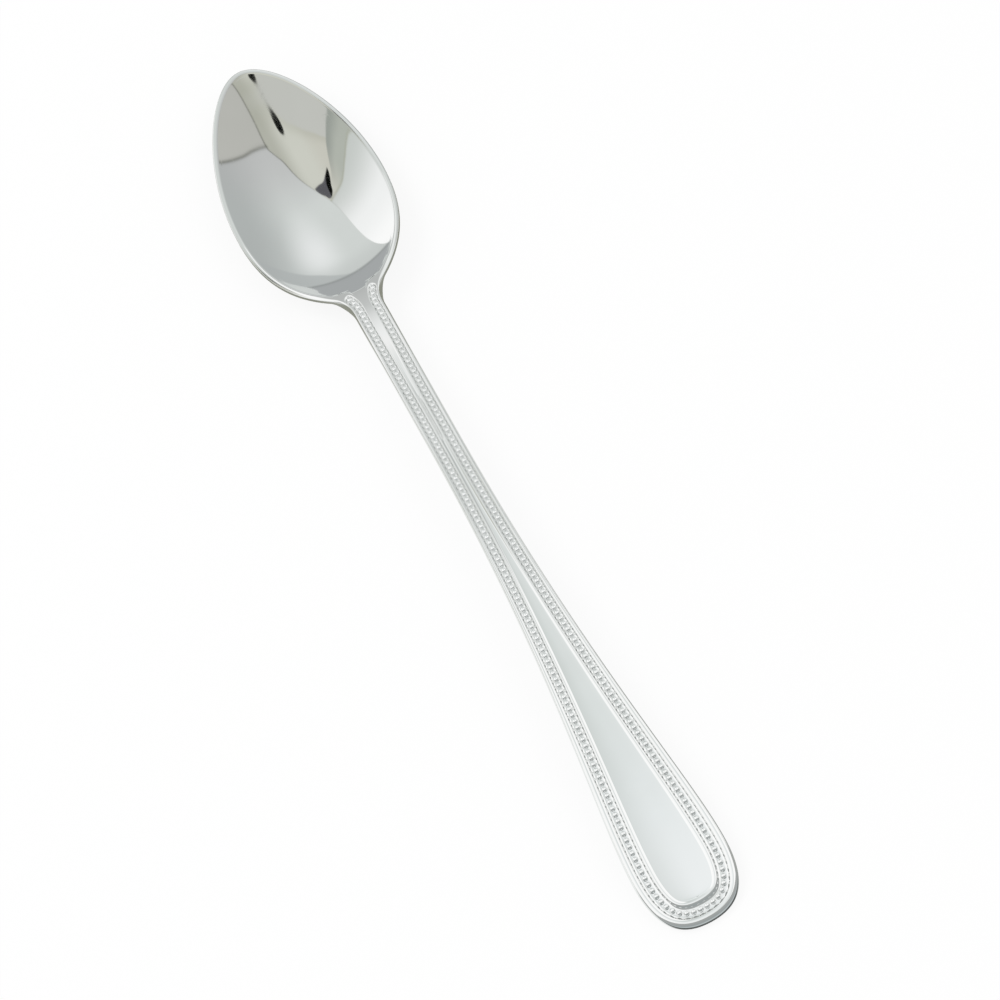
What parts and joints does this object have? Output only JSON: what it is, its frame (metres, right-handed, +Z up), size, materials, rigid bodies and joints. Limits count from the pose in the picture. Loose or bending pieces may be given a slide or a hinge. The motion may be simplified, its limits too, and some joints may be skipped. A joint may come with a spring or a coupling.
{
  "type": "iced tea spoon",
  "caption": "Long-handled iced tea spoon with an egg-shaped bowl, a slender shank and an arched, tapering handle edged with a row of beads.",
  "frame": {"origin": "on the table under the middle of the spoon's length, on its centre line", "axes": "+Y along the spoon from the handle end towards the bowl tip, +X across it, +Z up from the table that it lies on, with the bowl's hollow facing up"},
  "size_m": [0.0296, 0.1926, 0.0101],
  "materials": {
    "polished_steel": "mirror-polished stainless steel",
    "beaded_steel": "polished stainless steel, stamped in small beads"
  },
  "bodies": {
    "root": {"bowl": "polished_steel", "handle_back": "polished_steel", "edge_rim": "polished_steel", "inner_ridge": "polished_steel", "neck_tongue": "polished_steel", "end_panel": "polished_steel", "beads_left": "beaded_steel", "beads_right": "beaded_steel"}
  },
  "joints": []
}
